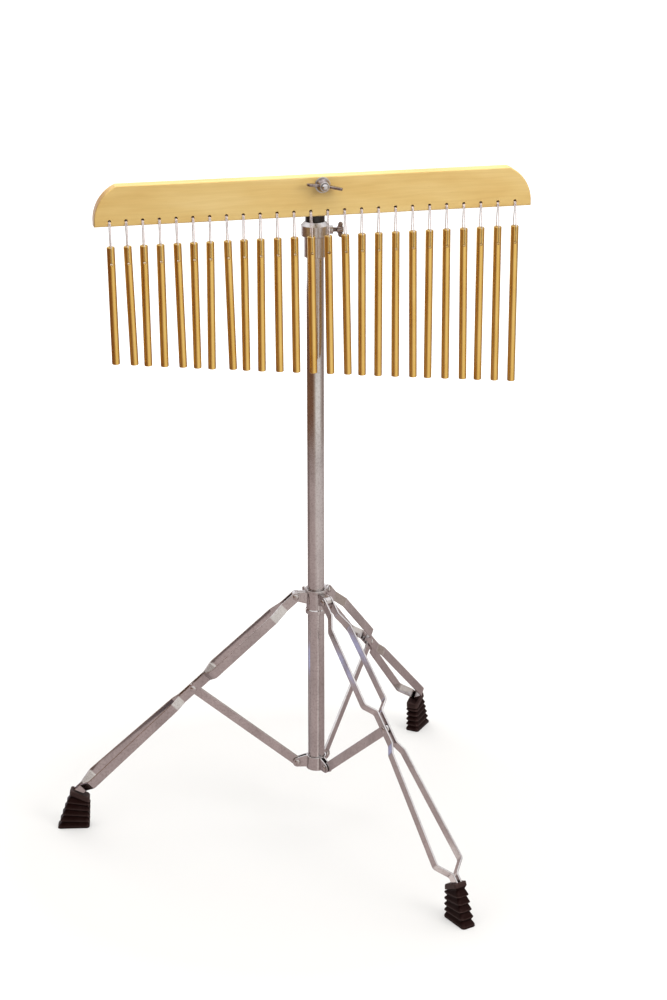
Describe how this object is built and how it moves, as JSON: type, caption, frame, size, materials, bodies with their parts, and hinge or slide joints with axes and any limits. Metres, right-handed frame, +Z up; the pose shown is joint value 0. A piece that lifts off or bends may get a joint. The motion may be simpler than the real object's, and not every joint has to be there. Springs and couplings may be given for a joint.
{
  "type": "bar chime tree on a tripod stand",
  "caption": "Row of graded gold bar chimes hung on cords from a wooden mantle, on a chrome folding tripod stand with a telescoping mast.",
  "frame": {"origin": "on the floor, under the middle of the bounding box", "axes": "+Z up; +X along the mantle towards the long chimes; the mantle's front face looks to -Y"},
  "size_m": [0.6228, 0.615, 0.9108],
  "materials": {
    "maple": "clear satin lacquer on pale maple",
    "gold_anodised": "satin gold anodised",
    "chrome": "bright chrome plate",
    "zinc_plate": "dull bright plate",
    "rubber": "matt black moulded rubber",
    "nylon": "black moulded nylon"
  },
  "bodies": {
    "stand": {"base_tube": "chrome", "lower_hub": "chrome", "height_clamp": "chrome", "front_strut_pin": "zinc_plate", "rear_strut_pin": "zinc_plate", "left_strut_pin": "zinc_plate"},
    "leg_collar": {"leg_collar": "chrome"},
    "front_leg": {"front_leg_strip_1": "chrome", "front_leg_strip_2": "chrome", "front_leg_pin": "zinc_plate", "front_foot": "rubber"},
    "front_strut": {"front_strut": "chrome"},
    "rear_leg": {"rear_leg_strip_1": "chrome", "rear_leg_strip_2": "chrome", "rear_leg_pin": "zinc_plate", "rear_foot": "rubber"},
    "rear_strut": {"rear_strut": "chrome"},
    "left_leg": {"left_leg_strip_1": "chrome", "left_leg_strip_2": "chrome", "left_leg_pin": "zinc_plate", "left_foot": "rubber"},
    "left_strut": {"left_strut": "chrome"},
    "collar_wing_bolt": {"collar_wing_bolt": "zinc_plate"},
    "clamp_wing_bolt": {"clamp_wing_bolt": "zinc_plate"},
    "clamp_bushing": {"clamp_bushing": "nylon"},
    "mast": {"upper_tube": "chrome", "tilter_base": "chrome"},
    "tilter_arm": {"tilter_arm": "chrome", "back_washer": "zinc_plate", "front_washer": "zinc_plate"},
    "tilter_bolt": {"tilter_bolt": "zinc_plate"},
    "wing_nut": {"wing_nut": "zinc_plate"},
    "mantle": {"mantle": "maple"},
    "chime_01": {"chime_01": "gold_anodised"},
    "chime_02": {"chime_02": "gold_anodised"},
    "chime_03": {"chime_03": "gold_anodised"},
    "chime_04": {"chime_04": "gold_anodised"},
    "chime_05": {"chime_05": "gold_anodised"},
    "chime_06": {"chime_06": "gold_anodised"},
    "chime_07": {"chime_07": "gold_anodised"},
    "chime_08": {"chime_08": "gold_anodised"},
    "chime_09": {"chime_09": "gold_anodised"},
    "chime_10": {"chime_10": "gold_anodised"},
    "chime_11": {"chime_11": "gold_anodised"},
    "chime_12": {"chime_12": "gold_anodised"},
    "chime_13": {"chime_13": "gold_anodised"},
    "chime_14": {"chime_14": "gold_anodised"},
    "chime_15": {"chime_15": "gold_anodised"},
    "chime_16": {"chime_16": "gold_anodised"},
    "chime_17": {"chime_17": "gold_anodised"},
    "chime_18": {"chime_18": "gold_anodised"},
    "chime_19": {"chime_19": "gold_anodised"},
    "chime_20": {"chime_20": "gold_anodised"},
    "chime_21": {"chime_21": "gold_anodised"},
    "chime_22": {"chime_22": "gold_anodised"},
    "chime_23": {"chime_23": "gold_anodised"},
    "chime_24": {"chime_24": "gold_anodised"},
    "chime_25": {"chime_25": "gold_anodised"}
  },
  "joints": [
    {"name": "tripod_fold", "type": "slide", "parent": "stand", "child": "leg_collar", "axis": [0, 0, 1], "range_m": [0, 0.115]},
    {"name": "front_leg_hinge", "type": "hinge", "parent": "leg_collar", "child": "front_leg", "pos_m": [0.05004, 0.0027, 0.334], "axis": [0.9367, 0.3502, 0], "range_deg": [0, 33]},
    {"name": "rear_leg_hinge", "type": "hinge", "parent": "leg_collar", "child": "rear_leg", "pos_m": [0.05775, 0.04883, 0.334], "axis": [-0.7716, 0.6361, 0], "range_deg": [0, 33]},
    {"name": "left_leg_hinge", "type": "hinge", "parent": "leg_collar", "child": "left_leg", "pos_m": [0.01395, 0.03245, 0.334], "axis": [-0.165, -0.9863, 0], "range_deg": [0, 33]},
    {"name": "front_strut_hinge", "type": "hinge", "parent": "stand", "child": "front_strut", "pos_m": [0.04968, 0.00364, 0.089], "axis": [0.9367, 0.3502, 0], "range_deg": [-36, 0]},
    {"name": "rear_strut_hinge", "type": "hinge", "parent": "stand", "child": "rear_strut", "pos_m": [0.05712, 0.04806, 0.089], "axis": [-0.7716, 0.6361, 0], "range_deg": [-36, 0]},
    {"name": "left_strut_hinge", "type": "hinge", "parent": "stand", "child": "left_strut", "pos_m": [0.01494, 0.03229, 0.089], "axis": [-0.165, -0.9863, 0], "range_deg": [-36, 0]},
    {"name": "collar_wing_bolt_turn", "type": "hinge", "parent": "leg_collar", "child": "collar_wing_bolt", "pos_m": [0.04058, 0.02799, 0.327], "axis": [-0.3502, 0.9367, 0], "continuous": true},
    {"name": "clamp_wing_bolt_turn", "type": "hinge", "parent": "stand", "child": "clamp_wing_bolt", "pos_m": [0.04058, 0.02799, 0.8333], "axis": [0.9848, -0.1736, 0], "continuous": true},
    {"name": "mast_swivel", "type": "hinge", "parent": "stand", "child": "clamp_bushing", "pos_m": [0.04058, 0.02799, 0.8446], "axis": [0, 0, 1], "continuous": true},
    {"name": "mast_height", "type": "slide", "parent": "clamp_bushing", "child": "mast", "axis": [0, 0, 1], "range_m": [0, 0.3]},
    {"name": "tilt", "type": "hinge", "parent": "mast", "child": "tilter_arm", "pos_m": [0.04058, 0.02799, 0.8919], "axis": [-1, 0, 0], "range_deg": [0, 90]},
    {"name": "tilter_bolt_turn", "type": "hinge", "parent": "mast", "child": "tilter_bolt", "pos_m": [0.04058, 0.02799, 0.8919], "axis": [1, 0, 0], "continuous": true},
    {"name": "wing_nut_turn", "type": "hinge", "parent": "tilter_arm", "child": "wing_nut", "pos_m": [0.04058, -0.0182, 0.9003], "axis": [0, -1, 0], "continuous": true},
    {"name": "mantle_level", "type": "hinge", "parent": "tilter_arm", "child": "mantle", "pos_m": [0.04058, -0.0072, 0.9003], "axis": [0, -1, 0], "range_deg": [-20, 20]},
    {"name": "chime_01_swing", "type": "hinge", "parent": "mantle", "child": "chime_01", "pos_m": [-0.22592, -0.0175, 0.8608], "axis": [1, 0, 0], "range_deg": [-30, 25]},
    {"name": "chime_02_swing", "type": "hinge", "parent": "mantle", "child": "chime_02", "pos_m": [-0.20546, -0.0175, 0.8608], "axis": [1, 0, 0], "range_deg": [-30, 25]},
    {"name": "chime_03_swing", "type": "hinge", "parent": "mantle", "child": "chime_03", "pos_m": [-0.18491, -0.0175, 0.8608], "axis": [1, 0, 0], "range_deg": [-30, 25]},
    {"name": "chime_04_swing", "type": "hinge", "parent": "mantle", "child": "chime_04", "pos_m": [-0.16426, -0.0175, 0.8608], "axis": [1, 0, 0], "range_deg": [-30, 25]},
    {"name": "chime_05_swing", "type": "hinge", "parent": "mantle", "child": "chime_05", "pos_m": [-0.14353, -0.0175, 0.8608], "axis": [1, 0, 0], "range_deg": [-30, 25]},
    {"name": "chime_06_swing", "type": "hinge", "parent": "mantle", "child": "chime_06", "pos_m": [-0.12271, -0.0175, 0.8608], "axis": [1, 0, 0], "range_deg": [-30, 25]},
    {"name": "chime_07_swing", "type": "hinge", "parent": "mantle", "child": "chime_07", "pos_m": [-0.10179, -0.0175, 0.8608], "axis": [1, 0, 0], "range_deg": [-30, 25]},
    {"name": "chime_08_swing", "type": "hinge", "parent": "mantle", "child": "chime_08", "pos_m": [-0.08079, -0.0175, 0.8608], "axis": [1, 0, 0], "range_deg": [-30, 25]},
    {"name": "chime_09_swing", "type": "hinge", "parent": "mantle", "child": "chime_09", "pos_m": [-0.0597, -0.0175, 0.8608], "axis": [1, 0, 0], "range_deg": [-30, 25]},
    {"name": "chime_10_swing", "type": "hinge", "parent": "mantle", "child": "chime_10", "pos_m": [-0.03851, -0.0175, 0.8608], "axis": [1, 0, 0], "range_deg": [-30, 25]},
    {"name": "chime_11_swing", "type": "hinge", "parent": "mantle", "child": "chime_11", "pos_m": [-0.01724, -0.0175, 0.8608], "axis": [1, 0, 0], "range_deg": [-30, 25]},
    {"name": "chime_12_swing", "type": "hinge", "parent": "mantle", "child": "chime_12", "pos_m": [0.00413, -0.0175, 0.8608], "axis": [1, 0, 0], "range_deg": [-30, 25]},
    {"name": "chime_13_swing", "type": "hinge", "parent": "mantle", "child": "chime_13", "pos_m": [0.02558, -0.0175, 0.8608], "axis": [1, 0, 0], "range_deg": [-30, 7]},
    {"name": "chime_14_swing", "type": "hinge", "parent": "mantle", "child": "chime_14", "pos_m": [0.04713, -0.0175, 0.8608], "axis": [1, 0, 0], "range_deg": [-30, 7]},
    {"name": "chime_15_swing", "type": "hinge", "parent": "mantle", "child": "chime_15", "pos_m": [0.06876, -0.0175, 0.8608], "axis": [1, 0, 0], "range_deg": [-30, 25]},
    {"name": "chime_16_swing", "type": "hinge", "parent": "mantle", "child": "chime_16", "pos_m": [0.09049, -0.0175, 0.8608], "axis": [1, 0, 0], "range_deg": [-30, 25]},
    {"name": "chime_17_swing", "type": "hinge", "parent": "mantle", "child": "chime_17", "pos_m": [0.1123, -0.0175, 0.8608], "axis": [1, 0, 0], "range_deg": [-30, 25]},
    {"name": "chime_18_swing", "type": "hinge", "parent": "mantle", "child": "chime_18", "pos_m": [0.13421, -0.0175, 0.8608], "axis": [1, 0, 0], "range_deg": [-30, 25]},
    {"name": "chime_19_swing", "type": "hinge", "parent": "mantle", "child": "chime_19", "pos_m": [0.15621, -0.0175, 0.8608], "axis": [1, 0, 0], "range_deg": [-30, 25]},
    {"name": "chime_20_swing", "type": "hinge", "parent": "mantle", "child": "chime_20", "pos_m": [0.17829, -0.0175, 0.8608], "axis": [1, 0, 0], "range_deg": [-30, 25]},
    {"name": "chime_21_swing", "type": "hinge", "parent": "mantle", "child": "chime_21", "pos_m": [0.20047, -0.0175, 0.8608], "axis": [1, 0, 0], "range_deg": [-30, 25]},
    {"name": "chime_22_swing", "type": "hinge", "parent": "mantle", "child": "chime_22", "pos_m": [0.22274, -0.0175, 0.8608], "axis": [1, 0, 0], "range_deg": [-30, 25]},
    {"name": "chime_23_swing", "type": "hinge", "parent": "mantle", "child": "chime_23", "pos_m": [0.24509, -0.0175, 0.8608], "axis": [1, 0, 0], "range_deg": [-30, 25]},
    {"name": "chime_24_swing", "type": "hinge", "parent": "mantle", "child": "chime_24", "pos_m": [0.26754, -0.0175, 0.8608], "axis": [1, 0, 0], "range_deg": [-30, 25]},
    {"name": "chime_25_swing", "type": "hinge", "parent": "mantle", "child": "chime_25", "pos_m": [0.29008, -0.0175, 0.8608], "axis": [1, 0, 0], "range_deg": [-30, 25]}
  ],
  "couplings": [
    {"joint": "front_leg_hinge", "follows": "tripod_fold", "rad_per_m": 4.9477},
    {"joint": "rear_leg_hinge", "follows": "tripod_fold", "rad_per_m": 4.9477},
    {"joint": "left_leg_hinge", "follows": "tripod_fold", "rad_per_m": 4.9477},
    {"joint": "front_strut_hinge", "follows": "tripod_fold", "rad_per_m": -5.4025},
    {"joint": "rear_strut_hinge", "follows": "tripod_fold", "rad_per_m": -5.4025},
    {"joint": "left_strut_hinge", "follows": "tripod_fold", "rad_per_m": -5.4025}
  ]
}
